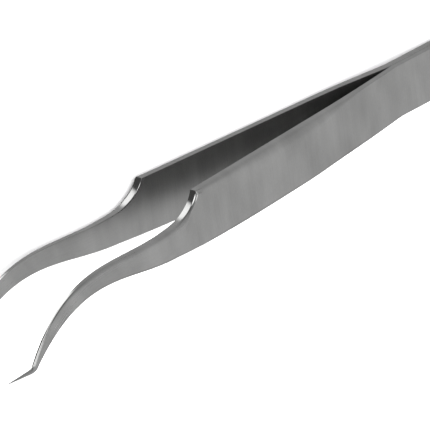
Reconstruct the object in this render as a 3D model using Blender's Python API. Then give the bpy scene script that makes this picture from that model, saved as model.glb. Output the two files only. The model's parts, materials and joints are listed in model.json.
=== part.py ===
"""Curved fine-point tweezers.

Two ground steel arms lie flat on each other at the tail, where two spot welds join them.
Past the tail each arm bends away through a thin leaf, thickens into a broad blade, steps down
through a polished scallop into a sickle-shaped neck, and ends in a short turned-back point.

The arms are modelled in a spread frame: X runs from the tail end to the points, Y from the
scalloped edge to the smooth edge, and Z across the opening, with Z = 0 midway between the arms.
A parent empty then lays the tweezers down on the flat of the lower blade, which becomes Z = 0,
with the origin at the middle of that flat. Lengths below are in millimetres.
"""

import math

import bmesh
import bpy
from mathutils import Vector

MM = 0.001

# Lengths along X.
TAIL_LENGTH = 18.7          # tail end to where the arms part
LEAF_LENGTH = 10.3          # bending leaf
BODY_LENGTH = 42.7          # leaf to the corner of the scallop
SCALLOP_LENGTH = 6.4        # corner to the end of the scallop
NECK_LENGTH = 34.1          # end of the scallop to the inside of the kink
FOOT_LENGTH = 5.8           # kink to the point

# Widths and depths along Y.
TAIL_WIDTH = 8.4
BODY_WIDTH = 9.9            # the width that the smooth edge's curve reaches for near the scallop
SHOULDER_WIDTH = 8.7        # width where the scallop has ended, before the cut is taken off
SCALLOP_DEPTH = 3.75
NECK_DROP = 9.15            # the neck's fall from the end of the scallop to the kink
FOOT_DROP = 0.8             # from the kink to the point
KINK_WIDTH = 1.15
TIP_WIDTH = 0.14
HEEL_WIDTH = 0.68           # of the foot, where the kink has ended
HEEL_RISE = 0.22            # of the foot's inner edge there, above the point's
TAIL_CORNER_RADIUS = 1.6

# Thicknesses, measured away from the inner face.
LEAF_THICKNESS = 1.15
EDGE_THICKNESS = 1.2        # what the ground facets leave at the blade's edges
BODY_THICKNESS = 2.25
NECK_START_THICKNESS = 1.85
NECK_START_EDGE = 1.25
NECK_THICKNESS = 1.2
NECK_EDGE = 0.6
KINK_THICKNESS = 0.75
KINK_EDGE = 0.35
TIP_THICKNESS = 0.2
THICKENING_LENGTH = 14.0    # from the leaf to full thickness
SCALLOP_FACET = 1.2         # ground facet beside the scalloped edge
SMOOTH_FACET = 0.5          # ground facet beside the smooth edge
FACET_SHARE = 0.36          # most of a section's width that one facet takes
LEAST_FACET = 0.05          # share of its full width that a vanishing facet keeps
MITRE_START = 1.4           # facet widths before the corner, where the facet begins to turn

# Slopes of the inner face away from the middle plane.
START_SLOPE = 0.16
START_BEND = 1.6            # length over which an arm turns away from the tail
BODY_SLOPE = 0.082
NECK_SLOPE = 0.055
NECK_SLOPE_AT = 15.0        # distance past the corner where the slope is NECK_SLOPE
TIP_SLOPE = 0.04
SLOPE_SETTLES = 9.0         # distance past the leaf where the slope is BODY_SLOPE

# Clearances and welds.
FACE_GAP = 0.1              # between faces that meet
WELD_RADIUS = 1.6
WELD_INSET = 5.5            # tail end to the rear weld's centre
WELD_SPACING = 6.5
WELD_DEPTH = 0.4            # how far a weld reaches into each arm

# Looks.
STEEL_COLOUR = (0.56, 0.56, 0.55, 1.0)
BRUSHED_ROUGHNESS = 0.35
WELD_ROUGHNESS = 0.5

# Outline handles, as steps from the end they belong to.
SCALLOP_HANDLES = ((0.5, 1.7), (-3.2, -0.25))
NECK_TOP_HANDLES = ((12.5, 1.5), (-10.5, -13.3))
NECK_UNDER_HANDLES = ((11.4, -0.15), (-12.4, -11.05))
BODY_UNDER_HANDLES = ((20.0, 0.35), (-18.6, 0.0))
KINK_TOP_HANDLES = ((0.26, 0.31), (-0.5, -0.02))
KINK_UNDER_HANDLES = ((0.45, 0.54), (-0.7, 0.03))
KINK_TOP_LENGTH = 1.1
KINK_ANGLE = math.radians(50.0)
KINK_PART = 0.4             # share of the foot's sections that the kink takes

PART_X = TAIL_LENGTH                       # where the arms part
BLADE_X = PART_X + LEAF_LENGTH             # where the blades begin
CORNER_X = BLADE_X + BODY_LENGTH           # corner of the scallop
NECK_X = CORNER_X + SCALLOP_LENGTH
SLIM_X = NECK_X + NECK_LENGTH * 0.7        # the neck is slim from here
KINK_X = NECK_X + NECK_LENGTH
POINT_X = KINK_X + FOOT_LENGTH
FULL_X = BLADE_X + THICKENING_LENGTH       # full thickness is reached here
KINK_Y = SCALLOP_DEPTH + NECK_DROP
POINT_Y = KINK_Y + FOOT_DROP


def interpolate(knots, x):
    """Value at x on a chain of straight lines through the knots."""
    if x <= knots[0][0]:
        return knots[0][1]
    for (x0, v0), (x1, v1) in zip(knots, knots[1:]):
        if x <= x1:
            return v0 + (v1 - v0) * (x - x0) / (x1 - x0)
    return knots[-1][1]


SLOPES = (
    (PART_X, 0.0),
    (PART_X + START_BEND, START_SLOPE),
    (BLADE_X + SLOPE_SETTLES, BODY_SLOPE),
    (CORNER_X, BODY_SLOPE),
    (CORNER_X + NECK_SLOPE_AT, NECK_SLOPE),
    (POINT_X, TIP_SLOPE),
)
THICKNESSES = (
    (BLADE_X, LEAF_THICKNESS),
    (FULL_X, BODY_THICKNESS),
    (CORNER_X, BODY_THICKNESS),
    (NECK_X, NECK_START_THICKNESS),
    (SLIM_X, NECK_THICKNESS),
    (KINK_X, KINK_THICKNESS),
    (POINT_X, TIP_THICKNESS),
)
EDGE_THICKNESSES = (
    (BLADE_X, LEAF_THICKNESS),
    (FULL_X, EDGE_THICKNESS),
    (CORNER_X, EDGE_THICKNESS),
    (NECK_X, NECK_START_EDGE),
    (SLIM_X, NECK_EDGE),
    (KINK_X, KINK_EDGE),
    (POINT_X, TIP_THICKNESS / 2),
)


def inner_height(x):
    """Distance of an arm's inner face from the middle plane: the slopes added up."""
    height = 0.0
    for (x0, s0), (x1, s1) in zip(SLOPES, SLOPES[1:]):
        if x <= x0:
            break
        end = min(x, x1)
        slope = s0 + (s1 - s0) * (end - x0) / (x1 - x0)
        height += (end - x0) * (s0 + slope) / 2
    return height


def outer_height(x):
    """Distance of an arm's outer face from the middle plane."""
    return inner_height(x) + interpolate(THICKNESSES, x)


def bezier(start, handles, end, share):
    """Point on a cubic curve whose handles are steps from the end they belong to."""
    a, d = Vector(start), Vector(end)
    b, c = a + Vector(handles[0]), d + Vector(handles[1])
    rest = 1.0 - share
    return a * rest**3 + b * 3 * rest**2 * share + c * 3 * rest * share**2 + d * share**3


def under_edge(x):
    """Y of the smooth edge, from the tail end to where the scallop has ended."""
    if x <= PART_X:
        return TAIL_WIDTH
    handles = (BODY_UNDER_HANDLES[0], (BODY_UNDER_HANDLES[1][0], BODY_WIDTH - SHOULDER_WIDTH))
    low, high = 0.0, 1.0
    for _ in range(40):
        middle = (low + high) / 2
        point = bezier((PART_X, TAIL_WIDTH), handles, (NECK_X, SHOULDER_WIDTH), middle)
        low, high = (middle, high) if point.x < x else (low, middle)
    return point.y


def corner_inset(x):
    """How far the tail's rounded corners take an edge in."""
    if x >= TAIL_CORNER_RADIUS:
        return 0.0
    reach = TAIL_CORNER_RADIUS - x
    return TAIL_CORNER_RADIUS - math.sqrt(TAIL_CORNER_RADIUS**2 - reach**2)


def straight_chord(x):
    inset = corner_inset(x)
    return Vector((x, inset)), Vector((x, under_edge(x) - inset))


def scallop_edge(share):
    return bezier((CORNER_X, 0.0), SCALLOP_HANDLES, (NECK_X, SCALLOP_DEPTH), share)


def scallop_chord(share):
    top = scallop_edge(share)
    return top, Vector((top.x, under_edge(top.x)))


def scallop_ridge(share):
    """Inner end of the facet beside the scallop: a constant width from its edge, mitred at the corner."""
    step = 0.001
    along = scallop_edge(share + step) - scallop_edge(share - step)
    inward = Vector((-along.y, along.x)).normalized()
    ridge = scallop_edge(share) + inward * facet_width(scallop_edge(share).x)
    return Vector((ridge.x, max(ridge.y, SCALLOP_FACET)))


def neck_chord(share):
    across = Vector((-math.sin(KINK_ANGLE), math.cos(KINK_ANGLE))) * KINK_WIDTH
    kink = Vector((KINK_X, KINK_Y))
    top = bezier((NECK_X, SCALLOP_DEPTH), NECK_TOP_HANDLES, kink, share)
    under = bezier((NECK_X, SHOULDER_WIDTH), NECK_UNDER_HANDLES, kink + across, share)
    return top, under


def foot_chord(share):
    """The kink turns back to the line of the arm, then the foot narrows to the point."""
    kink_top, kink_under = neck_chord(1.0)
    bend = Vector((KINK_X + KINK_TOP_LENGTH, POINT_Y - HEEL_RISE))
    heel = bend + Vector((0.0, HEEL_WIDTH))
    if share < KINK_PART:
        local = share / KINK_PART
        top = bezier(kink_top, KINK_TOP_HANDLES, bend, local)
        under = bezier(kink_under, KINK_UNDER_HANDLES, heel, local)
        return top, under
    local = (share - KINK_PART) / (1.0 - KINK_PART)
    point = Vector((POINT_X, POINT_Y))
    return bend.lerp(point, local), heel.lerp(point + Vector((0.0, TIP_WIDTH)), local)


def facet_width(x):
    """Width of the ground facet beside the scalloped edge, which grows with what is ground off."""
    ground = interpolate(THICKNESSES, x) - interpolate(EDGE_THICKNESSES, x)
    return SCALLOP_FACET * max(ground / (BODY_THICKNESS - EDGE_THICKNESS), LEAST_FACET)


def section(chord, ridge=None):
    """Six points around an arm: inner edges, outer edges, and the ends of the two facets."""
    top, under = chord
    width = (under - top).length
    across = (under - top) / width
    ridge = ridge or top + across * min(facet_width(top.x), FACET_SHARE * width)
    smooth_ridge = under - across * min(SMOOTH_FACET, FACET_SHARE * width)
    layers = (
        (top, None),
        (top, EDGE_THICKNESSES),
        (ridge, THICKNESSES),
        (smooth_ridge, THICKNESSES),
        (under, EDGE_THICKNESSES),
        (under, None),
    )
    ring = []
    for place, layer in layers:
        height = inner_height(place.x) + (interpolate(layer, place.x) if layer else 0.0)
        ring.append(Vector((place.x, place.y, height)))
    return ring


def shares(count):
    """Shares of a stretch, from the first step to its end."""
    return [index / count for index in range(1, count + 1)]


def spread(start, end, count):
    """Places along a stretch, from its start to its end."""
    return [start + (end - start) * index / count for index in range(count + 1)]


def tail_sections():
    """Sections along the tail, every 15 degrees around its rounded corners."""
    turns = [math.radians(angle) for angle in range(0, 105, 15)]
    corner = [TAIL_CORNER_RADIUS * (1 - math.cos(turn)) for turn in turns]
    return [section(straight_chord(x)) for x in corner + [PART_X - FACE_GAP / 2]]


def leaf_sections():
    start, end = PART_X + FACE_GAP / 2, BLADE_X - FACE_GAP / 2
    return [section(straight_chord(x)) for x in spread(start, end, 12)]


def blade_sections():
    thickening = spread(BLADE_X + FACE_GAP / 2, FULL_X, 6)
    flat = spread(FULL_X, CORNER_X - SCALLOP_FACET * MITRE_START, 2)[1:]
    sections = [section(straight_chord(x)) for x in thickening + flat]
    sections += [section(scallop_chord(share), scallop_ridge(share)) for share in spread(0, 1, 10)]
    sections += [section(neck_chord(share)) for share in shares(24)]
    sections += [section(foot_chord(share)) for share in shares(10)]
    return sections


def steel(name, roughness):
    """Brushed stainless steel."""
    material = bpy.data.materials.new(name)
    material.use_nodes = True
    shader = material.node_tree.nodes["Principled BSDF"]
    shader.inputs["Base Color"].default_value = STEEL_COLOUR
    shader.inputs["Metallic"].default_value = 1.0
    shader.inputs["Roughness"].default_value = roughness
    return material


def place_object(name, mesh, origin, parent, collection, roughness):
    """Put a mesh, given in the spread frame, on an object whose origin is at `origin`."""
    for vertex in mesh.vertices:
        vertex.co = (vertex.co - origin) * MM
    mesh.materials.append(steel(name + "_steel", roughness))
    item = bpy.data.objects.new(name, mesh)
    item.parent = parent
    item.location = origin * MM
    collection.objects.link(item)
    return item


def loft(name, sections, side):
    """Closed mesh through the sections; side is 1 above the middle plane, -1 below."""
    shape = bmesh.new()
    rings = []
    for points in sections:
        rings.append([shape.verts.new((p.x, p.y, side * (p.z + FACE_GAP / 2))) for p in points])
    for before, after in zip(rings, rings[1:]):
        for index in range(len(before)):
            following = (index + 1) % len(before)
            shape.faces.new((before[index], before[following], after[following], after[index]))
    shape.faces.new(rings[0])
    shape.faces.new(rings[-1])
    bmesh.ops.recalc_face_normals(shape, faces=shape.faces)
    mesh = bpy.data.meshes.new(name)
    shape.to_mesh(mesh)
    shape.free()
    return mesh


def disc(name, centre, radius, half_height):
    """Round mesh across the middle plane."""
    shape = bmesh.new()
    bmesh.ops.create_cone(
        shape, cap_ends=True, segments=32, radius1=radius, radius2=radius, depth=2 * half_height
    )
    bmesh.ops.translate(shape, vec=centre, verts=shape.verts)
    mesh = bpy.data.meshes.new(name)
    shape.to_mesh(mesh)
    shape.free()
    return mesh


def cut(target, cutter):
    """Take the cutter's shape out of the target."""
    modifier = target.modifiers.new(cutter.name, "BOOLEAN")
    modifier.operation = "DIFFERENCE"
    modifier.solver = "EXACT"
    modifier.object = cutter


def new_collection(name):
    collection = bpy.data.collections.new(name)
    bpy.context.scene.collection.children.link(collection)
    return collection


def resting_frame(collection):
    """Empty that turns the spread frame so that the lower blade's flat lies on Z = 0."""
    tilt = math.atan(BODY_SLOPE)
    middle = Vector((
        (FULL_X + CORNER_X) / 2,
        (SCALLOP_FACET + under_edge(CORNER_X) - SMOOTH_FACET) / 2,
        -outer_height((FULL_X + CORNER_X) / 2) - FACE_GAP / 2,
    ))
    empty = bpy.data.objects.new("resting_frame", None)
    empty.empty_display_size = 0.01
    empty.rotation_euler = (0.0, -tilt, 0.0)
    turned = Vector((
        middle.x * math.cos(tilt) - middle.z * math.sin(tilt),
        middle.y,
        middle.x * math.sin(tilt) + middle.z * math.cos(tilt),
    ))
    empty.location = -turned * MM
    collection.objects.link(empty)
    return empty


def leaf_middle(side):
    """Where a leaf's bending turns its blade: the middle of the leaf."""
    x = PART_X + LEAF_LENGTH / 2
    height = inner_height(x) + LEAF_THICKNESS / 2 + FACE_GAP / 2
    return Vector((x, under_edge(x) / 2, side * height))


def build_arm(side_name, side, frame, parts, cutters):
    """One arm: welded tail, bending leaf, and a blade whose origin is on its pivot."""
    tail = loft(side_name + "_arm_tail", tail_sections(), side)
    leaf = loft(side_name + "_arm_leaf", leaf_sections(), side)
    blade = loft(side_name + "_arm_blade", blade_sections(), side)
    root = Vector((0.0, 0.0, 0.0))
    tail_object = place_object(tail.name, tail, root, frame, parts, BRUSHED_ROUGHNESS)
    place_object(leaf.name, leaf, root, frame, parts, BRUSHED_ROUGHNESS)
    place_object(blade.name, blade, leaf_middle(side), frame, parts, BRUSHED_ROUGHNESS)
    for cutter in cutters:
        cut(tail_object, cutter)


def weld_centres():
    """Names and places of the two spots, counted from the tail end."""
    for name, x in (("rear", WELD_INSET), ("front", WELD_INSET + WELD_SPACING)):
        yield name, Vector((x, TAIL_WIDTH / 2, 0.0))


def build_welds(frame, parts, cutter_collection):
    """The fused spots, and the cutters that clear a pocket for each in both tails."""
    root = Vector((0.0, 0.0, 0.0))
    cutters = []
    for name, centre in weld_centres():
        weld = disc("tail_weld_" + name, centre, WELD_RADIUS, WELD_DEPTH)
        place_object(weld.name, weld, root, frame, parts, WELD_ROUGHNESS)
        pocket = disc(
            "pocket_" + name, centre, WELD_RADIUS + FACE_GAP, WELD_DEPTH + FACE_GAP
        )
        cutter = place_object(
            pocket.name, pocket, root, frame, cutter_collection, WELD_ROUGHNESS
        )
        cutter.display_type = "WIRE"
        cutter.hide_render = True
        cutters.append(cutter)
    return cutters


def main():
    for item in list(bpy.data.objects):
        bpy.data.objects.remove(item, do_unlink=True)
    parts = new_collection("curved_tweezers")
    cutter_collection = new_collection("cutters")
    frame = resting_frame(parts)
    cutters = build_welds(frame, parts, cutter_collection)
    build_arm("upper", 1, frame, parts, cutters)
    build_arm("lower", -1, frame, parts, cutters)


main()
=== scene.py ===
"""Finished looks for a pair of curved fine-point tweezers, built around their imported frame.

Each arm becomes one unbroken strip of ground steel that bends through its leaf, and the two spot
welds become bevelled nuggets between the tails. Shapes are worked out in the spread frame of the
open tweezers: X from the tail end to the points, Y from the scalloped edge to the smooth edge,
and Z across the opening, with Z = 0 midway between the arms. Lengths in it are millimetres.
"""

import json
import math
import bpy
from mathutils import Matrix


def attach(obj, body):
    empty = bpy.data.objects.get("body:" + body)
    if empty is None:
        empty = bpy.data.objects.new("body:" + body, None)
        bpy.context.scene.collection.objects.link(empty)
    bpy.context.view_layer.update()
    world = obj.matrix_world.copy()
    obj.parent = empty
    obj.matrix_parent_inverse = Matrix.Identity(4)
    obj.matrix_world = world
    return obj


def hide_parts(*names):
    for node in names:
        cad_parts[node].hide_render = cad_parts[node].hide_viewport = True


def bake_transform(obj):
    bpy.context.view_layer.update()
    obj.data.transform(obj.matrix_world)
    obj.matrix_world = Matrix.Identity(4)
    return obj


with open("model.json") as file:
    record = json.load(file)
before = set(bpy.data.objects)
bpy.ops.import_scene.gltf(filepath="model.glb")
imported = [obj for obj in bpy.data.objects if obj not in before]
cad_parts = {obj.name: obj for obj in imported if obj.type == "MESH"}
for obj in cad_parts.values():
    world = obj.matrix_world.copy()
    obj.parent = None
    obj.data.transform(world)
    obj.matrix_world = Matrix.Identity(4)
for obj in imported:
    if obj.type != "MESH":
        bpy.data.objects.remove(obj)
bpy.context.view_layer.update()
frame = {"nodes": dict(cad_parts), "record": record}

from types import SimpleNamespace

import bmesh
import bpy
from bpy.props import FloatProperty, FloatVectorProperty, PointerProperty
from mathutils import Matrix, Vector

bl_info = {
    "name": "Curved tweezers",
    "version": (1, 0, 0),
    "blender": (4, 5, 0),
    "location": "3D View > Sidebar > Tweezers",
    "description": "Builds the finished arms, welds and stage around the packed tweezers",
    "category": "Object",
}

MM = 0.001

# Outline handles, as steps from the end they belong to.
SCALLOP_HANDLES = ((0.5, 1.7), (-3.2, -0.25))
NECK_TOP_HANDLES = ((12.5, 1.5), (-10.5, -13.3))
NECK_UNDER_HANDLES = ((11.4, -0.15), (-12.4, -11.05))
BODY_UNDER_HANDLES = ((20.0, 0.35), (-18.6, 0.0))
KINK_TOP_HANDLES = ((0.26, 0.31), (-0.5, -0.02))
KINK_UNDER_HANDLES = ((0.45, 0.54), (-0.7, 0.03))
KINK_PART = 0.4             # share of the foot's sections that the kink takes

# Proportions of an arm.
KINK_ANGLE = math.radians(50.0)
SLIM_SHARE = 0.7            # share of the neck's length at which it has become slim
FACET_SHARE = 0.36          # share of a section's width that a facet may take
MITRE_REACH = 1.4           # facet widths before the scallop at which its sections start
RIM_WIDENS = (0.5, 0.85)    # shares of the scallop between which its narrow rim widens
RIM_CLEARS = 0.15           # share of the scallop over which the rim leaves the straight edge
TIP_ROUNDING = 0.3          # share of the tip's width by which the last section is drawn in
SHARP_ANGLE = math.radians(65)

# Welds.
DISC_SEGMENTS = 48
NUGGET_BEVEL = 0.15
NUGGET_BEVEL_SEGMENTS = 3

# Grain of the steel: how closely each noise repeats along, across and in depth.
ACROSS_STROKES = (4.0, 0.05, 0.05)
LENGTHWISE_STROKES = (0.25, 4.0, 4.0)
CLOUDS = (0.22, 0.1, 0.1)
SPECKLE = (6.0, 3.0, 3.0)
STROKES_TURN = (74.0, 84.0)     # distances along the arm between which the brushing turns
WELD_SPECKLE = 2500.0

# Soft boxes: where each is, the cosines from its middle at which its glow starts and is full,
# and the strengths outside and inside.
SOFT_BOXES = (
    ((0.0, 0.35, 0.94), -0.3, 0.55, 0.12, 0.8),
    ((-0.62, -0.62, -0.45), 0.45, 0.95, 0.0, 0.45),
    ((0.65, -0.75, -0.06), 0.91, 0.98, 0.0, 3.5),
    ((0.47, -0.51, 0.68), 0.955, 0.99, 0.0, 1.3),
    ((0.06, -0.70, -0.71), 0.93, 0.985, 0.0, 2.1),
)

# The camera's directions, the point it looks at, and the reach of the stage.
CAMERA_RIGHT = (-0.72598, 0.11876, 0.67739)
CAMERA_UP = (-0.33904, -0.91877, -0.20228)
CAMERA_TARGET = (9.951, 0.437, 13.447)      # millimetres
CAMERA_CLIP = (0.01, 10.0)
SENSOR_WIDTH = 36.0
FLOOR_REACH = 10.0
LAMP_ANGLE = math.radians(120.0)

# Fineness of the strips.
FILLET_STEPS = 5
MOST_ROUNDING = 0.49        # share of a side that a fillet may take
FLAT_MARGIN = 0.15          # from a fillet to the first point of the flat beside it
MOST_MARGIN = 0.2           # the same as a share of the flat, at most
WALL_POINTS = 2 * (FILLET_STEPS + 1) + 3    # a section's first points, round the scalloped edge
BODY_STEP = 0.9
LEAF_STEP = 0.5
BEND_STEP = 0.25
BEND_BEFORE, BEND_AFTER = 0.2, 0.6          # reach of the fine sections past both ends of a bend
CORNER_TURN = 15            # degrees between the sections around the tail's corners
SCALLOP_SECTIONS, NECK_SECTIONS, FOOT_SECTIONS = 40, 140, 44
EASE_SAMPLES = 9
EASE_REACH = 3.0
HALVINGS = 40               # of the search for a place on the smooth edge
SHARE_STEP = 0.001          # to both sides, for the direction of the scallop's edge
TINY = 1e-6


def spread_frame():
    """Matrix from the spread frame to the frame in which the tweezers lie on one arm."""
    mounts = {mount["name"]: mount for mount in frame["record"]["mounts"]}
    outward = Vector(mounts["tail_upper_face"]["axis"])
    turn = Matrix.Rotation(-math.atan2(-outward.x, outward.z), 4, "Y")
    back = turn.inverted()
    upper = [back @ v.co for v in frame["nodes"]["upper_arm_tail"].data.vertices]
    lower = [back @ v.co for v in frame["nodes"]["lower_arm_tail"].data.vertices]
    middle = (min(p.z for p in upper) + max(p.z for p in lower)) / 2
    corner = Vector((min(p.x for p in upper), min(p.y for p in upper), middle))
    return turn @ Matrix.Translation(corner) @ Matrix.Scale(MM, 4)


SPREAD = spread_frame()
INTO_SPREAD = SPREAD.inverted()


def spread_points(node):
    """A CAD node's corner points in the spread frame."""
    return [INTO_SPREAD @ v.co for v in frame["nodes"][node].data.vertices]


def spread_box(node):
    """Lowest and highest corners of a CAD node in the spread frame."""
    points = spread_points(node)
    low = Vector([min(p[axis] for p in points) for axis in range(3)])
    high = Vector([max(p[axis] for p in points) for axis in range(3)])
    return low, high


TAIL_LOW, TAIL_HIGH = spread_box("upper_arm_tail")
LEAF_LOW, LEAF_HIGH = spread_box("upper_arm_leaf")
BLADE_LOW, BLADE_HIGH = spread_box("upper_arm_blade")
HALF_GAP = TAIL_LOW.z
TAIL_WIDTH = TAIL_HIGH.y - TAIL_LOW.y
LEAF_THICKNESS = TAIL_HIGH.z - TAIL_LOW.z
PART_X = (TAIL_HIGH.x + LEAF_LOW.x) / 2
BLADE_X = (LEAF_HIGH.x + BLADE_LOW.x) / 2
POINT_X = BLADE_HIGH.x


def length(name, millimetres, description):
    """A length property, whose default is given in millimetres."""
    return FloatProperty(
        name=name, description=description, default=millimetres * MM, unit="LENGTH", precision=5
    )


def slope(name, value, description):
    """A slope property: rise over run."""
    return FloatProperty(name=name, description=description, default=value, precision=4)


class TweezerOutline(bpy.types.PropertyGroup):
    """Lengths and widths of an arm's outline."""

    body_length: length("Body length", 42.7, "From the leaf to the corner of the scallop")
    scallop_length: length("Scallop length", 6.4, "From the corner to the end of the scallop")
    neck_length: length("Neck length", 34.1, "From the end of the scallop to the kink")
    body_width: length("Body width", 9.9, "Width that the smooth edge's curve reaches for")
    shoulder_width: length("Shoulder width", 8.7, "Width where the scallop ends, before its cut")
    scallop_depth: length("Scallop depth", 3.75, "How far the scallop steps in")
    neck_drop: length("Neck drop", 9.15, "The neck's fall from the scallop to the kink")
    foot_drop: length("Foot drop", 0.8, "The foot's fall from the kink to the point")
    kink_width: length("Kink width", 1.15, "Width of the neck at the kink")
    kink_length: length("Kink length", 1.1, "Length of the kink along its inner side")
    heel_width: length("Heel width", 0.68, "Width of the foot where the kink ends")
    heel_rise: length("Heel rise", 0.22, "Height of the foot's inner side above the point")
    tip_width: length("Tip width", 0.14, "Width of the point")
    tail_corner: length("Tail corner radius", 1.6, "Radius of the tail's corners")


class TweezerGrind(bpy.types.PropertyGroup):
    """Thicknesses, ground facets and rounded edges of an arm."""

    edge: length("Edge thickness", 1.2, "Thickness that the facets leave at the blade's edges")
    body: length("Body thickness", 2.25, "Full thickness of the blade")
    neck_start: length("Shoulder thickness", 1.85, "Thickness where the scallop ends")
    neck_start_edge: length("Shoulder edge", 1.25, "Edge thickness where the scallop ends")
    neck: length("Neck thickness", 1.2, "Thickness of the slim part of the neck")
    neck_edge: length("Neck edge", 0.6, "Edge thickness of the slim part of the neck")
    kink: length("Kink thickness", 0.75, "Thickness at the kink")
    kink_edge: length("Kink edge", 0.35, "Edge thickness at the kink")
    tip: length("Tip thickness", 0.2, "Thickness of the point")
    thickening: length("Thickening length", 14.0, "From the leaf to full thickness")
    scallop_facet: length("Scallop facet", 1.2, "Width of the facet beside the scalloped edge")
    smooth_facet: length("Smooth facet", 0.5, "Width of the facet beside the smooth edge")
    rim_facet: length("Rim facet", 0.25, "Width of the facet around the scallop")
    rim_rise: length("Rim rise", 0.4, "Height of the facet around the scallop")
    fade_length: length("Fade length", 18.0, "Before the scallop, where the facet fades out")
    least_facet: length("Least facet", 0.3, "Width of the eased edge where there is no facet")
    inner_edge: length("Inner edge", 0.1, "Radius of the edges beside the inner face")
    seam: length("Seam groove", 0.3, "Radius of the edges beside the seam of the tail")
    end_edge: length("End edge", 0.15, "Radius of the edges around the tail end")
    bend_length: length("Bend length", 1.6, "Over which an arm turns away from the tail")
    settle_length: length("Settle length", 9.0, "Past the leaf, where the body slope begins")
    neck_slope_at: length("Neck slope place", 15.0, "Past the corner, where the neck slope is")


class TweezerSlopes(bpy.types.PropertyGroup):
    """Slopes of an arm's inner face away from the middle plane."""

    start: slope("Start slope", 0.16, "Slope where the arms part")
    body: slope("Body slope", 0.082, "Slope of the blade's body")
    neck: slope("Neck slope", 0.055, "Slope of the neck")
    tip: slope("Tip slope", 0.04, "Slope at the points")


class TweezerSteel(bpy.types.PropertyGroup):
    """Finish of the steel."""

    colour: FloatVectorProperty(
        name="Steel colour", description="Colour of the brushed faces",
        default=(0.36, 0.36, 0.357), size=3, subtype="COLOR", min=0.0, max=1.0,
    )
    roughness: FloatProperty(
        name="Brushed roughness", description="Roughness of the brushed faces",
        default=0.34, subtype="FACTOR", min=0.0, max=1.0,
    )
    polish: FloatProperty(
        name="Polished roughness", description="Roughness of the scallop and the neck's edges",
        default=0.13, subtype="FACTOR", min=0.0, max=1.0,
    )
    weld_colour: FloatVectorProperty(
        name="Weld colour", description="Colour of the fused spots",
        default=(0.36, 0.34, 0.31), size=3, subtype="COLOR", min=0.0, max=1.0,
    )


class TweezerStage(bpy.types.PropertyGroup):
    """Floor, light and camera."""

    floor_colour: FloatVectorProperty(
        name="Floor colour", description="Colour of the floor",
        default=(0.9, 0.9, 0.9), size=3, subtype="COLOR", min=0.0, max=1.0,
    )
    sky: FloatProperty(
        name="Sky strength", description="Strength of the light from all round",
        default=1.0, min=0.0,
    )
    floor_light: FloatProperty(
        name="Floor light", description="Strength of the soft light from above on the floor",
        default=6.0, min=0.0,
    )
    view_width: length("View width", 66.006, "Width that the camera sees at the tweezers")
    camera_distance: length("Camera distance", 2100.0, "From the camera to the tweezers")


def interpolate(knots, x):
    """Value at x on a chain of straight lines through the knots."""
    if x <= knots[0][0]:
        return knots[0][1]
    for (x0, v0), (x1, v1) in zip(knots, knots[1:]):
        if x <= x1:
            return v0 + (v1 - v0) * (x - x0) / (x1 - x0)
    return knots[-1][1]


def eased(knots, x, reach):
    """The same chain with its corners rounded: its mean over a reach to both sides."""
    reach = min(reach, knots[-1][0] - x)
    steps = [2 * index / (EASE_SAMPLES - 1) - 1 for index in range(EASE_SAMPLES)]
    return sum(interpolate(knots, x + reach * step) for step in steps) / EASE_SAMPLES


def bezier(start, handles, end, share):
    """Point on a cubic curve whose handles are steps from the end they belong to."""
    a, d = Vector(start), Vector(end)
    b, c = a + Vector(handles[0]), d + Vector(handles[1])
    rest = 1.0 - share
    return a * rest**3 + b * 3 * rest**2 * share + c * 3 * rest * share**2 + d * share**3


def stretch(start, end, step):
    """Places from start to end, about a step apart."""
    count = max(1, round((end - start) / step))
    return [start + (end - start) * index / count for index in range(count + 1)]


def shares(count, first=0):
    """Even shares up to 1, from the first of a count."""
    return [index / count for index in range(first, count + 1)]


def fillet(before, corner, after, radius, most=MOST_ROUNDING):
    """Points that round a corner of a section, as a quadratic curve."""
    to_before, to_after = before - corner, after - corner
    reach_before = min(radius / max(to_before.length, TINY), most)
    reach_after = min(radius / max(to_after.length, TINY), MOST_ROUNDING)
    start = corner + to_before * reach_before
    end = corner + to_after * reach_after
    return [
        start * (1 - s) ** 2 + corner * 2 * s * (1 - s) + end * s**2 for s in shares(FILLET_STEPS)
    ]


def flat_points(start, end):
    """Three points along a flat, two of them close to its fillets."""
    margin = min(FLAT_MARGIN / max((end - start).length, TINY), MOST_MARGIN)
    return [start.lerp(end, share) for share in (margin, 0.5, 1 - margin)]


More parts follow.
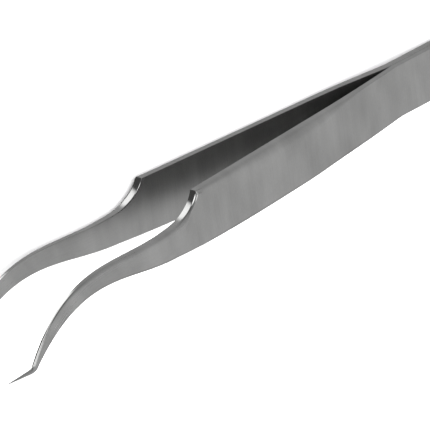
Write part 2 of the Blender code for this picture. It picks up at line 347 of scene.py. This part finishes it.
class ArmShape:
    """One arm in the spread frame, above the middle plane."""

    def __init__(self, outline, grind, slopes):
        self.outline = outline
        self.grind = grind
        self.corner_x = BLADE_X + outline.body_length
        self.neck_x = self.corner_x + outline.scallop_length
        self.kink_x = self.neck_x + outline.neck_length
        self.kink_y = outline.scallop_depth + outline.neck_drop
        self.point_y = self.kink_y + outline.foot_drop
        slim_x = self.neck_x + outline.neck_length * SLIM_SHARE
        full_x = BLADE_X + grind.thickening
        self.thicknesses = (
            (BLADE_X, LEAF_THICKNESS), (full_x, grind.body), (self.corner_x, grind.body),
            (self.neck_x, grind.neck_start), (slim_x, grind.neck),
            (self.kink_x, grind.kink), (POINT_X, grind.tip),
        )
        self.edges = (
            (BLADE_X, LEAF_THICKNESS), (full_x, grind.edge), (self.corner_x, grind.edge),
            (self.neck_x, grind.neck_start_edge), (slim_x, grind.neck_edge),
            (self.kink_x, grind.kink_edge), (POINT_X, grind.tip / 2),
        )
        self.slopes = (
            (PART_X, 0.0), (PART_X + grind.bend_length, slopes.start),
            (BLADE_X + grind.settle_length, slopes.body), (self.corner_x, slopes.body),
            (self.corner_x + grind.neck_slope_at, slopes.neck), (POINT_X, slopes.tip),
        )
        self.wall_rounding = (
            (BLADE_X, 0.14), (full_x, 0.5), (self.corner_x - 3.0, 0.5), (self.corner_x, 0.14),
            (self.corner_x + 3.0, 0.14), (self.neck_x, 0.5), (slim_x, 0.3), (self.kink_x, 0.2),
        )
        self.wall_share = ((self.neck_x, MOST_ROUNDING), (slim_x, 0.25))
        self.inner_rounding = (
            (PART_X, grind.seam), (BLADE_X, grind.inner_edge), (self.neck_x, grind.inner_edge),
            (slim_x, 0.5 * grind.inner_edge),
        )
        self.ridge_rounding = (
            (BLADE_X, 0.14), (full_x, 0.6), (self.corner_x - 12.0, 1.6),
            (self.corner_x - 3.0, 1.2), (self.corner_x, 0.16), (self.corner_x + 3.2, 0.16),
            (self.neck_x, 0.7), (slim_x, 1.0), (self.kink_x, 0.25),
        )

    def thickness(self, x):
        """Full thickness, between the facets."""
        return eased(self.thicknesses, x, EASE_REACH)

    def edge(self, x):
        """Thickness that the facets leave at the edges."""
        return min(eased(self.edges, x, EASE_REACH), self.thickness(x))

    def inner_height(self, x):
        """Distance of the inner face from the middle plane: the slopes added up."""
        height = HALF_GAP
        for (x0, s0), (x1, s1) in zip(self.slopes, self.slopes[1:]):
            if x <= x0:
                break
            end = min(x, x1)
            slope_there = s0 + (s1 - s0) * (end - x0) / (x1 - x0)
            height += (end - x0) * (s0 + slope_there) / 2
        return height

    def under_edge(self, x):
        """Y of the smooth edge, from the tail end to where the scallop has ended."""
        if x <= PART_X:
            return TAIL_WIDTH
        rise = self.outline.body_width - self.outline.shoulder_width
        handles = (BODY_UNDER_HANDLES[0], (BODY_UNDER_HANDLES[1][0], rise))
        end = (self.neck_x, self.outline.shoulder_width)
        low, high = 0.0, 1.0
        for _ in range(HALVINGS):
            middle = (low + high) / 2
            point = bezier((PART_X, TAIL_WIDTH), handles, end, middle)
            low, high = (middle, high) if point.x < x else (low, middle)
        return point.y

    def straight_chord(self, x):
        """Both edges across the tail, leaf and body, drawn in around the tail's corners."""
        radius = self.outline.tail_corner
        reach = max(radius - x, 0.0)
        inset = radius - math.sqrt(radius**2 - reach**2)
        return Vector((x, inset)), Vector((x, self.under_edge(x) - inset))

    def scallop_edge(self, share):
        """Point on the scallop's edge, from its corner to the neck."""
        end = (self.neck_x, self.outline.scallop_depth)
        return bezier((self.corner_x, 0.0), SCALLOP_HANDLES, end, share)

    def scallop_ridge(self, share):
        """Inner end of the facet beside the scallop: where it is, and how high it stands."""
        along = self.scallop_edge(share + SHARE_STEP) - self.scallop_edge(share - SHARE_STEP)
        inward = Vector((-along.y, along.x)).normalized()
        edge = self.scallop_edge(share)
        wide, narrow = self.facet_width(edge.x), self.grind.rim_facet
        full, low = self.thickness(edge.x), self.edge(edge.x) + self.grind.rim_rise
        start, end = RIM_WIDENS
        width = interpolate(((start, narrow), (end, wide)), share)
        height = interpolate(((start, low), (end, full)), share)
        ridge = edge + inward * width
        clear = narrow * interpolate(((0.0, 2.0), (RIM_CLEARS, 0.0)), share)
        return Vector((ridge.x, max(ridge.y, clear))), height

    def neck_chord(self, share):
        """Both edges across the neck, square to it where it reaches the kink."""
        turned = Vector((-math.sin(KINK_ANGLE), math.cos(KINK_ANGLE)))
        across = turned * self.outline.kink_width
        kink = Vector((self.kink_x, self.kink_y))
        top_start = (self.neck_x, self.outline.scallop_depth)
        under_start = (self.neck_x, self.outline.shoulder_width)
        top = bezier(top_start, NECK_TOP_HANDLES, kink, share)
        under = bezier(under_start, NECK_UNDER_HANDLES, kink + across, share)
        return top, under

    def foot_chord(self, share):
        """The kink turns back to the line of the arm, then the foot narrows to the point."""
        outline = self.outline
        bend = Vector((self.kink_x + outline.kink_length, self.point_y - outline.heel_rise))
        heel = bend + Vector((0.0, outline.heel_width))
        if share < KINK_PART:
            local = share / KINK_PART
            kink_top, kink_under = self.neck_chord(1.0)
            top = bezier(kink_top, KINK_TOP_HANDLES, bend, local)
            return top, bezier(kink_under, KINK_UNDER_HANDLES, heel, local)
        local = (share - KINK_PART) / (1.0 - KINK_PART)
        point = Vector((POINT_X, self.point_y))
        tip = Vector((0.0, outline.tip_width))
        return bend.lerp(point, local), heel.lerp(point + tip, local)

    def facet_width(self, x):
        """Width of the facet beside the scalloped edge, which grows with what is ground off."""
        ground = self.thickness(x) - self.edge(x)
        share = ground / (self.grind.body - self.grind.edge)
        return max(self.grind.scallop_facet * share, self.grind.least_facet)

    def section(self, chord, ridge=None, height=None):
        """Ring of points around the arm at a chord of its outline."""
        top, under = chord
        width = (under - top).length
        across = (under - top) / width
        if ridge is None:
            ridge = top + across * min(self.facet_width(top.x), FACET_SHARE * width)
            height = self.thickness(ridge.x)
            if top.x <= self.corner_x:
                rim = self.edge(top.x) + self.grind.rim_rise
                fade_start = self.corner_x - self.grind.fade_length
                fade = interpolate(((fade_start, 0.0), (self.corner_x, 1.0)), top.x)
                ridge = ridge.lerp(top + across * 2 * self.grind.rim_facet, fade)
                height += (rim - height) * fade
        smooth_ridge = under - across * min(self.grind.smooth_facet, FACET_SHARE * width)

        def lifted(place, layer):
            level = self.inner_height(place.x) + (layer(place.x) if layer else 0.0)
            return Vector((place.x, place.y, level))

        wall = interpolate(self.wall_rounding, top.x)
        crest = interpolate(self.ridge_rounding, top.x)
        crown = lifted(ridge, None) + Vector((0.0, 0.0, height))
        inner = interpolate(self.inner_rounding, top.x)
        corners = (
            (lifted(top, None), inner), (lifted(top, self.edge), wall),
            (crown, crest), (lifted(smooth_ridge, self.thickness), 0.6 * crest),
            (lifted(under, self.edge), wall), (lifted(under, None), inner),
        )
        rounds = []
        for index, (corner, radius) in enumerate(corners):
            before = corners[index - 1][0]
            after = corners[(index + 1) % len(corners)][0]
            most = interpolate(self.wall_share, top.x) if index == 1 else MOST_ROUNDING
            rounds.append(fillet(before, corner, after, radius, most))
        outer_flat = flat_points(rounds[2][-1], rounds[3][0])
        inner_flat = flat_points(rounds[5][-1], rounds[0][0])
        return (
            rounds[0] + rounds[1] + rounds[2] + outer_flat
            + rounds[3] + rounds[4] + rounds[5] + inner_flat
        )

    def sections(self):
        """Every section from the tail end to the point."""
        radius, end_edge = self.outline.tail_corner, self.grind.end_edge
        turns = [math.radians(angle) for angle in range(0, 91, CORNER_TURN)]
        end = {round(size * (1 - math.cos(t)), 6) for size in (radius, end_edge) for t in turns}
        mitre = self.corner_x - self.grind.scallop_facet * MITRE_REACH
        bend_start = PART_X - BEND_BEFORE
        bend_end = PART_X + self.grind.bend_length + BEND_AFTER
        straight = sorted(end) + stretch(radius, bend_start, BODY_STEP)[1:]
        straight += stretch(bend_start, bend_end, BEND_STEP)[1:]
        straight += stretch(straight[-1], BLADE_X, LEAF_STEP)[1:]
        straight += stretch(BLADE_X, mitre, BODY_STEP)[1:]
        rings = [self.section(self.straight_chord(x)) for x in straight]
        for ring, x in zip(rings, straight):
            if x < end_edge:
                inset = end_edge - math.sqrt(end_edge**2 - (end_edge - x) ** 2)
                shrink(ring, inset)
        for share in shares(SCALLOP_SECTIONS):
            top = self.scallop_edge(share)
            under = Vector((top.x, self.under_edge(top.x)))
            rings.append(self.section((top, under), *self.scallop_ridge(share)))
        rings += [self.section(self.neck_chord(share)) for share in shares(NECK_SECTIONS, 1)]
        rings += [self.section(self.foot_chord(share)) for share in shares(FOOT_SECTIONS, 1)]
        shrink(rings[-1], self.outline.tip_width * TIP_ROUNDING)
        return rings


def shrink(ring, inset):
    """Draw a ring in towards its middle by an inset on every side."""
    low = Vector([min(p[axis] for p in ring) for axis in range(3)])
    high = Vector([max(p[axis] for p in ring) for axis in range(3)])
    middle = (low + high) / 2
    scale = [1.0] + [max(1 - 2 * inset / (high[a] - low[a]), 0.1) for a in (1, 2)]
    for point in ring:
        for axis in (1, 2):
            point[axis] = middle[axis] + (point[axis] - middle[axis]) * scale[axis]


def new_object(name, mesh):
    """A mesh's object, in the scene."""
    item = bpy.data.objects.new(name, mesh)
    bpy.context.scene.collection.objects.link(item)
    return item


def polish_of(index, x, shape):
    """How far a point of a section is polished: along the edges of the scallop and low neck."""
    knots = (
        (shape.corner_x - 0.8, 0.0), (shape.corner_x, 1.0), (shape.corner_x + 4.0, 1.0),
        (shape.neck_x, 0.1), (shape.neck_x + 12.0, 0.3), (shape.neck_x + 22.0, 1.0),
        (shape.kink_x, 1.0), (shape.kink_x + 1.5, 0.2),
    )
    slim = interpolate(((shape.neck_x + 12.0, 0.0), (shape.kink_x, 0.5)), x)
    return interpolate(knots, x) if index < WALL_POINTS else slim


def strip_shape(rings, side, outline):
    """Extrude a ring of edges through every section, and close both ends."""
    shape = bmesh.new()
    grain = shape.verts.layers.float_vector.new("grain")
    polish = shape.verts.layers.float.new("polish")
    ring = [shape.verts.new(point) for point in rings[0]]
    edges = [shape.edges.new((a, b)) for a, b in zip(ring, ring[1:] + ring[:1])]
    along, middle = 0.0, sum(rings[0], Vector()) / len(ring)
    for vert, point in zip(ring, rings[0]):
        vert[grain] = (along, (point - rings[0][0]).xy.length, point.z)
    for points in rings[1:]:
        made = bmesh.ops.extrude_edge_only(shape, edges=edges)["geom"]
        new = {item for item in made if isinstance(item, bmesh.types.BMVert)}
        ring = [
            next(e.other_vert(v) for e in v.link_edges if e.other_vert(v) in new) for v in ring
        ]
        edges = [shape.edges.get((a, b)) for a, b in zip(ring, ring[1:] + ring[:1])]
        centre = sum(points, Vector()) / len(points)
        along, middle = along + (centre - middle).length, centre
        for index, (vert, point) in enumerate(zip(ring, points)):
            vert.co = point
            vert[grain] = (along, (point - points[0]).xy.length, point.z - points[0].z)
            vert[polish] = polish_of(index, point.x, outline)
    bmesh.ops.holes_fill(shape, edges=shape.edges, sides=0)
    bmesh.ops.scale(shape, vec=(1.0, 1.0, side), verts=shape.verts)
    bmesh.ops.transform(shape, matrix=SPREAD, verts=shape.verts)
    bmesh.ops.recalc_face_normals(shape, faces=shape.faces)
    return shape


def finish_mesh(name, shape):
    """Turn a bmesh into a smooth-shaded mesh whose steep edges stay sharp."""
    mesh = bpy.data.meshes.new(name)
    shape.to_mesh(mesh)
    shape.free()
    mesh.shade_smooth()
    mesh.set_sharp_from_angle(angle=SHARP_ANGLE)
    return mesh


def disc_shape(node, growth):
    """Disc across the middle plane in a weld's place, grown by a clearance."""
    low, high = spread_box(node)
    radius = (high.x - low.x) / 2 + growth
    depth = high.z - low.z + 2 * growth
    shape = bmesh.new()
    bmesh.ops.create_cone(
        shape, cap_ends=True, segments=DISC_SEGMENTS,
        radius1=radius, radius2=radius, depth=depth,
    )
    bmesh.ops.translate(shape, vec=(low + high) / 2, verts=shape.verts)
    return shape


def cut_pockets(item):
    """Clear a pocket for each weld out of an arm's tail."""
    for node in ("tail_weld_front", "tail_weld_rear"):
        shape = disc_shape(node, 2 * HALF_GAP)
        bmesh.ops.transform(shape, matrix=SPREAD, verts=shape.verts)
        cutter = new_object(node + "_pocket", finish_mesh(node + "_pocket", shape))
        modifier = item.modifiers.new("pocket", "BOOLEAN")
        modifier.operation = "DIFFERENCE"
        modifier.solver = "EXACT"
        modifier.object = cutter
        bpy.context.view_layer.update()
        graph = bpy.context.evaluated_depsgraph_get()
        cut = bpy.data.meshes.new_from_object(item.evaluated_get(graph))
        item.modifiers.clear()
        item.data = cut
        bpy.data.objects.remove(cutter)


class NodeGraph:
    """A new material's nodes, added and linked by short calls."""

    def __init__(self, name):
        self.material = bpy.data.materials.new(name)
        self.material.use_nodes = True
        self.tree = self.material.node_tree
        self.shader = self.tree.nodes["Principled BSDF"]

    def add(self, kind, **settings):
        node = self.tree.nodes.new("ShaderNode" + kind)
        for key, value in settings.items():
            setattr(node, key, value)
        return node

    def link(self, output, target):
        self.tree.links.new(output, target)

    def grain(self, scale):
        """The strip's own along, across and depth coordinates, stretched."""
        attribute = self.add("Attribute", attribute_name="grain")
        mapping = self.add("Mapping")
        mapping.inputs["Scale"].default_value = scale
        self.link(attribute.outputs["Vector"], mapping.inputs["Vector"])
        return mapping.outputs["Vector"]

    def noise(self, vector, scale, detail, roughness=0.5):
        noise = self.add("TexNoise")
        noise.inputs["Scale"].default_value = scale
        noise.inputs["Detail"].default_value = detail
        noise.inputs["Roughness"].default_value = roughness
        self.link(vector, noise.inputs["Vector"])
        return noise.outputs["Fac"]

    def ranged(self, value, low, high, to_low, to_high):
        node = self.add("MapRange")
        for name, number in (
            ("From Min", low), ("From Max", high), ("To Min", to_low), ("To Max", to_high)
        ):
            node.inputs[name].default_value = number
        self.link(value, node.inputs["Value"])
        return node.outputs["Result"]


def brushed_steel(steel):
    """Steel brushed across the arm, softly cloudy, and polished along the scallop and neck."""
    graph = NodeGraph("brushed_steel")
    shader = graph.shader
    shader.inputs["Metallic"].default_value = 1.0
    across = graph.noise(graph.grain(ACROSS_STROKES), 1.0, 4.0, 0.65)
    lengthwise = graph.noise(graph.grain(LENGTHWISE_STROKES), 1.0, 4.0, 0.65)
    along = graph.add("SeparateXYZ")
    graph.link(graph.grain((1.0, 1.0, 1.0)), along.inputs["Vector"])
    turn = graph.add("Mix", data_type="FLOAT")
    turned = graph.ranged(along.outputs["X"], *STROKES_TURN, 0.0, 1.0)
    graph.link(turned, turn.inputs["Factor"])
    graph.link(across, turn.inputs["A"])
    graph.link(lengthwise, turn.inputs["B"])
    strokes = turn.outputs["Result"]
    clouds = graph.noise(graph.grain(CLOUDS), 1.0, 2.0)
    speckle = graph.noise(graph.grain(SPECKLE), 1.0, 2.0)
    value = graph.add("Math", operation="ADD")
    graph.link(graph.ranged(strokes, 0.3, 0.7, -0.05, 0.05), value.inputs[0])
    graph.link(graph.ranged(clouds, 0.3, 0.7, 0.9, 1.12), value.inputs[1])
    speckled = graph.add("Math", operation="ADD")
    graph.link(value.outputs[0], speckled.inputs[0])
    graph.link(graph.ranged(speckle, 0.3, 0.7, -0.035, 0.035), speckled.inputs[1])
    colour = graph.add("Mix", data_type="RGBA", blend_type="MULTIPLY")
    colour.inputs["Factor"].default_value = 1.0
    colour.inputs["A"].default_value = (*steel.colour, 1.0)
    graph.link(speckled.outputs[0], colour.inputs["B"])
    graph.link(colour.outputs["Result"], shader.inputs["Base Color"])
    rough = graph.ranged(strokes, 0.25, 0.75, steel.roughness - 0.04, steel.roughness + 0.05)
    polish = graph.add("Attribute", attribute_name="polish").outputs["Fac"]
    finish = graph.add("Mix", data_type="FLOAT")
    finish.inputs["B"].default_value = steel.polish
    graph.link(polish, finish.inputs["Factor"])
    graph.link(rough, finish.inputs["A"])
    graph.link(finish.outputs["Result"], shader.inputs["Roughness"])
    bump = graph.add("Bump")
    bump.inputs["Strength"].default_value = 0.1
    bump.inputs["Distance"].default_value = 0.02 * MM
    graph.link(strokes, bump.inputs["Height"])
    graph.link(bump.outputs["Normal"], shader.inputs["Normal"])
    return graph.material


def fused_steel(steel):
    """Dull, heat-tinted steel of a spot weld."""
    graph = NodeGraph("fused_steel")
    shader = graph.shader
    shader.inputs["Metallic"].default_value = 1.0
    coordinates = graph.add("TexCoord").outputs["Object"]
    speckle = graph.noise(coordinates, WELD_SPECKLE, 5.0, 0.65)
    ramp = graph.add("ValToRGB")
    dark = [0.6 * channel for channel in steel.weld_colour]
    ramp.color_ramp.elements[0].color = (*dark, 1.0)
    ramp.color_ramp.elements[1].color = (*steel.weld_colour, 1.0)
    graph.link(speckle, ramp.inputs["Fac"])
    graph.link(ramp.outputs["Color"], shader.inputs["Base Color"])
    graph.link(graph.ranged(speckle, 0.3, 0.7, 0.45, 0.65), shader.inputs["Roughness"])
    bump = graph.add("Bump")
    bump.inputs["Strength"].default_value = 0.4
    bump.inputs["Distance"].default_value = 0.03 * MM
    graph.link(speckle, bump.inputs["Height"])
    graph.link(bump.outputs["Normal"], shader.inputs["Normal"])
    return graph.material


def plain_lengths(group):
    """A property group's lengths in millimetres."""
    return SimpleNamespace(**{name: getattr(group, name) / MM for name in group.__annotations__})


class TWEEZERS_OT_arms(bpy.types.Operator):
    """Build both arms as unbroken steel strips that bend through their leaves"""

    bl_idname = "tweezers.arms"
    bl_label = "Build arms"

    def execute(self, context):
        scene = context.scene
        shape = ArmShape(
            plain_lengths(scene.tweezer_outline), plain_lengths(scene.tweezer_grind),
            scene.tweezer_slopes,
        )
        rings = shape.sections()
        material = brushed_steel(scene.tweezer_steel)
        for name, side in (("upper", 1.0), ("lower", -1.0)):
            mesh = finish_mesh(name + "_arm_strip", strip_shape(rings, side, shape))
            arm = new_object(name + "_arm_strip", mesh)
            cut_pockets(arm)
            arm.data.materials.clear()
            arm.data.materials.append(material)
            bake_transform(arm)
            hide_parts(name + "_arm_tail", name + "_arm_leaf", name + "_arm_blade")
        return {"FINISHED"}


class TWEEZERS_OT_welds(bpy.types.Operator):
    """Build the two fused spots that hold the tails together"""

    bl_idname = "tweezers.welds"
    bl_label = "Build welds"

    def execute(self, context):
        material = fused_steel(context.scene.tweezer_steel)
        for place in ("front", "rear"):
            node = "tail_weld_" + place
            shape = disc_shape(node, 0.0)
            rims = [e for e in shape.edges if any(len(f.verts) > 4 for f in e.link_faces)]
            bmesh.ops.bevel(
                shape, geom=rims, offset=NUGGET_BEVEL, offset_type="OFFSET",
                segments=NUGGET_BEVEL_SEGMENTS, profile=0.5, affect="EDGES", material=-1,
                clamp_overlap=True,
            )
            bmesh.ops.transform(shape, matrix=SPREAD, verts=shape.verts)
            weld = new_object("weld_nugget_" + place, finish_mesh("weld_nugget_" + place, shape))
            weld.data.materials.append(material)
            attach(weld, "tail")
            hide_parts(node)
        return {"FINISHED"}


def studio_world(sky):
    """Dim surroundings, with a soft-edged glow for each soft box."""
    world = bpy.data.worlds.new("studio")
    world.use_nodes = True
    nodes, links = world.node_tree.nodes, world.node_tree.links
    direction = nodes.new("ShaderNodeTexCoord").outputs["Generated"]
    total = None
    for facing, start, full, dim, bright in SOFT_BOXES:
        aim = nodes.new("ShaderNodeVectorMath")
        aim.operation = "DOT_PRODUCT"
        aim.inputs[1].default_value = Vector(facing).normalized()
        links.new(direction, aim.inputs[0])
        glow = nodes.new("ShaderNodeMapRange")
        glow.interpolation_type = "SMOOTHSTEP"
        for name, number in (
            ("From Min", start), ("From Max", full), ("To Min", dim), ("To Max", bright)
        ):
            glow.inputs[name].default_value = number
        links.new(aim.outputs["Value"], glow.inputs["Value"])
        if total is None:
            total = glow.outputs["Result"]
            continue
        more = nodes.new("ShaderNodeMath")
        links.new(total, more.inputs[0])
        links.new(glow.outputs["Result"], more.inputs[1])
        total = more.outputs["Value"]
    background = nodes["Background"]
    background.inputs["Strength"].default_value = sky
    links.new(total, background.inputs["Color"])
    return world


class TWEEZERS_OT_stage(bpy.types.Operator):
    """Set up the floor, the soft light and the camera"""

    bl_idname = "tweezers.stage"
    bl_label = "Build stage"

    def execute(self, context):
        stage = context.scene.tweezer_stage
        self.floor(stage)
        self.light(stage)
        self.camera(stage)
        context.scene.view_settings.view_transform = "Standard"
        return {"FINISHED"}

    def floor(self, stage):
        shape = bmesh.new()
        bmesh.ops.create_grid(shape, x_segments=1, y_segments=1, size=FLOOR_REACH)
        floor = new_object("floor", finish_mesh("floor", shape))
        floor.visible_glossy = False
        graph = NodeGraph("pale_floor")
        graph.shader.inputs["Base Color"].default_value = (*stage.floor_colour, 1.0)
        graph.shader.inputs["Roughness"].default_value = 0.9
        graph.shader.inputs["Specular IOR Level"].default_value = 0.0
        floor.data.materials.append(graph.material)

    def light(self, stage):
        bpy.context.scene.world = studio_world(stage.sky)
        lamp = bpy.data.lights.new("floor_light", "SUN")
        lamp.energy = stage.floor_light
        lamp.angle = LAMP_ANGLE
        item = bpy.data.objects.new("floor_light", lamp)
        item.visible_glossy = False
        bpy.context.scene.collection.objects.link(item)

    def camera(self, stage):
        right = Vector(CAMERA_RIGHT).normalized()
        back = right.cross(Vector(CAMERA_UP)).normalized()
        up = back.cross(right)
        camera = bpy.data.cameras.new("camera")
        camera.sensor_width = SENSOR_WIDTH
        camera.lens = camera.sensor_width * stage.camera_distance / stage.view_width
        camera.clip_start, camera.clip_end = CAMERA_CLIP
        item = bpy.data.objects.new("camera", camera)
        turn = Matrix((right, up, back)).transposed().to_4x4()
        target = Vector(CAMERA_TARGET) * MM
        item.matrix_world = Matrix.Translation(target + back * stage.camera_distance) @ turn
        bpy.context.scene.collection.objects.link(item)
        bpy.context.scene.camera = item


class TWEEZERS_PT_panel(bpy.types.Panel):
    """Sizes, finishes and builders of the tweezers"""

    bl_idname = "TWEEZERS_PT_panel"
    bl_label = "Curved tweezers"
    bl_space_type = "VIEW_3D"
    bl_region_type = "UI"
    bl_category = "Tweezers"

    def draw(self, context):
        for name, _ in GROUPS:
            group = getattr(context.scene, name)
            box = self.layout.box()
            for prop in group.__annotations__:
                box.prop(group, prop)
        for operator in OPERATORS:
            self.layout.operator(operator.bl_idname)


GROUPS = (
    ("tweezer_outline", TweezerOutline),
    ("tweezer_grind", TweezerGrind),
    ("tweezer_slopes", TweezerSlopes),
    ("tweezer_steel", TweezerSteel),
    ("tweezer_stage", TweezerStage),
)
OPERATORS = (TWEEZERS_OT_arms, TWEEZERS_OT_welds, TWEEZERS_OT_stage)


def register():
    for name, group in GROUPS:
        bpy.utils.register_class(group)
        setattr(bpy.types.Scene, name, PointerProperty(type=group))
    for item in (*OPERATORS, TWEEZERS_PT_panel):
        bpy.utils.register_class(item)


def unregister():
    for item in reversed((*OPERATORS, TWEEZERS_PT_panel)):
        bpy.utils.unregister_class(item)
    for name, group in reversed(GROUPS):
        delattr(bpy.types.Scene, name)
        bpy.utils.unregister_class(group)


def main():
    register()
    bpy.ops.tweezers.arms()
    bpy.ops.tweezers.welds()
    bpy.ops.tweezers.stage()


if __name__ == "__main__":
    main()
